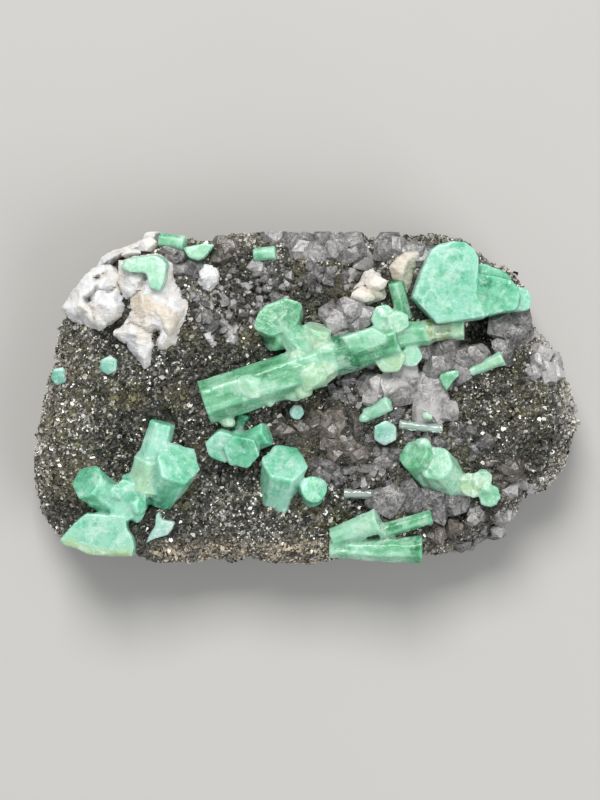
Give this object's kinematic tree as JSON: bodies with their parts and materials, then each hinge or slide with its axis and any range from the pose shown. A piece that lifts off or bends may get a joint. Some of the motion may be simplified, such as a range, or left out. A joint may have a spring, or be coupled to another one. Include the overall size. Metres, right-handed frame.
{
  "type": "beryl on matrix",
  "caption": "Hand-sized slab of mica schist with green six-sided beryl crystals, quartz grains and white feldspar grown into one face; it lies on its flat back.",
  "frame": {"origin": "on the flat back, below the middle of the face's plan", "axes": "+X along the slab's length, +Y across it, +Z out of the crystal face"},
  "size_m": [0.0873, 0.053, 0.022],
  "materials": {
    "mica_schist": "satin",
    "beryl_green": "gloss",
    "beryl_pale": "gloss",
    "feldspar_white": "satin",
    "quartz_grey": "gloss",
    "quartz_smoky": "gloss"
  },
  "bodies": {
    "root": {"beryl_blue_grain": "beryl_pale", "beryl_bottom_bundle": "beryl_green", "beryl_centre_cluster": "beryl_green", "beryl_chip": "beryl_green", "beryl_clear_needle": "beryl_pale", "beryl_clear_stub": "beryl_pale", "beryl_corner_table": "beryl_green", "beryl_hexagon": "beryl_pale", "beryl_in_feldspar": "beryl_green", "beryl_leaning_prism": "beryl_green", "beryl_left_edge_grain": "beryl_pale", "beryl_left_hexagon": "beryl_pale", "beryl_long_prism": "beryl_green", "beryl_lower_left_cluster": "beryl_green", "beryl_right_chip": "beryl_green", "beryl_right_cluster": "beryl_green", "beryl_right_needle": "beryl_green", "beryl_shard": "beryl_pale", "beryl_slanting_prism": "beryl_green", "beryl_top_edge_left": "beryl_green", "beryl_top_edge_right": "beryl_green", "beryl_top_grain": "beryl_green", "feldspar_cream": "feldspar_white", "feldspar_left": "feldspar_white", "feldspar_middle": "feldspar_white", "feldspar_rim": "feldspar_white", "feldspar_small": "feldspar_white", "feldspar_upper_cream": "feldspar_white", "matrix_schist": "mica_schist", "quartz_above_prism": "quartz_grey", "quartz_blue_grey": "quartz_grey", "quartz_brown_grain": "quartz_smoky", "quartz_grey_lens": "quartz_grey", "quartz_grey_pair": "quartz_grey", "quartz_lower_bank": "quartz_grey", "quartz_lower_grain": "quartz_grey", "quartz_middle_bank": "quartz_grey", "quartz_middle_grain": "quartz_grey", "quartz_pale_grain": "quartz_grey", "quartz_pink_grain": "quartz_grey", "quartz_right_bank": "quartz_grey", "quartz_right_edge": "quartz_grey", "quartz_right_ledge": "quartz_grey", "quartz_rim_grain": "quartz_grey", "quartz_smoky_centre": "quartz_smoky", "quartz_smoky_grains": "quartz_smoky", "quartz_smoky_knob": "quartz_smoky", "quartz_smoky_lens": "quartz_smoky", "quartz_top_band": "quartz_grey"}
  },
  "joints": []
}
